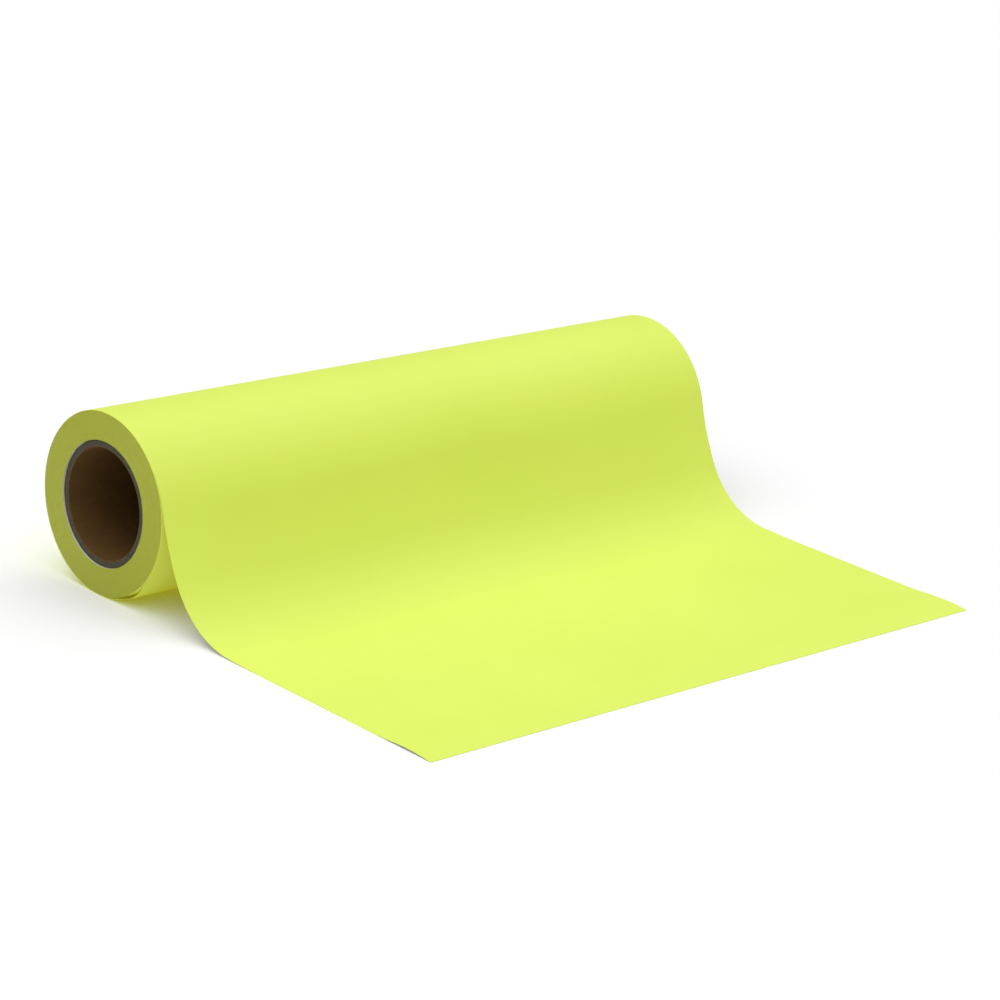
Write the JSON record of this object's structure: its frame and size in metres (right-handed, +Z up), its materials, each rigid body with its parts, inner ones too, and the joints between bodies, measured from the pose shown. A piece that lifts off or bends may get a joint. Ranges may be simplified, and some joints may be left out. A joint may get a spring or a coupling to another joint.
{
  "type": "roll of sign vinyl",
  "caption": "Roll of yellow self-adhesive sign vinyl on a paper core, with its free end hanging off the top and opened out flat.",
  "frame": {"origin": "on the axis of the core's bore, halfway along the roll", "axes": "+Y along the roll's axis, +Z up, +X from the roll towards the opened-out free end"},
  "size_m": [0.3912, 0.508, 0.1254],
  "materials": {
    "kraft_paper": "smooth brown kraft paper lining the bore, matt",
    "grey_board": "recycled grey core board, matt, cut edges a little fuzzy",
    "mounting_tape": "thin double-sided tissue tape",
    "release_liner": "white siliconised kraft paper, soft sheen",
    "vinyl_film": "fluorescent yellow film, satin"
  },
  "bodies": {
    "web": {"unrolled_film": "vinyl_film", "unrolled_liner": "release_liner"},
    "roll": {"core_inner_ply": "kraft_paper", "core_board_ply_1": "grey_board", "core_board_ply_2": "grey_board", "core_board_ply_3": "grey_board", "core_board_ply_4": "grey_board", "core_board_ply_5": "grey_board", "core_board_ply_6": "grey_board", "core_board_ply_7": "grey_board", "core_board_ply_8": "grey_board", "core_outer_ply": "grey_board", "core_start_tape": "mounting_tape", "wound_liner": "release_liner", "wound_film": "vinyl_film"}
  },
  "joints": [
    {"name": "roll_turn", "type": "hinge", "parent": "web", "child": "roll", "pos_m": [0, 0, 0], "axis": [0, 1, 0], "continuous": true}
  ]
}
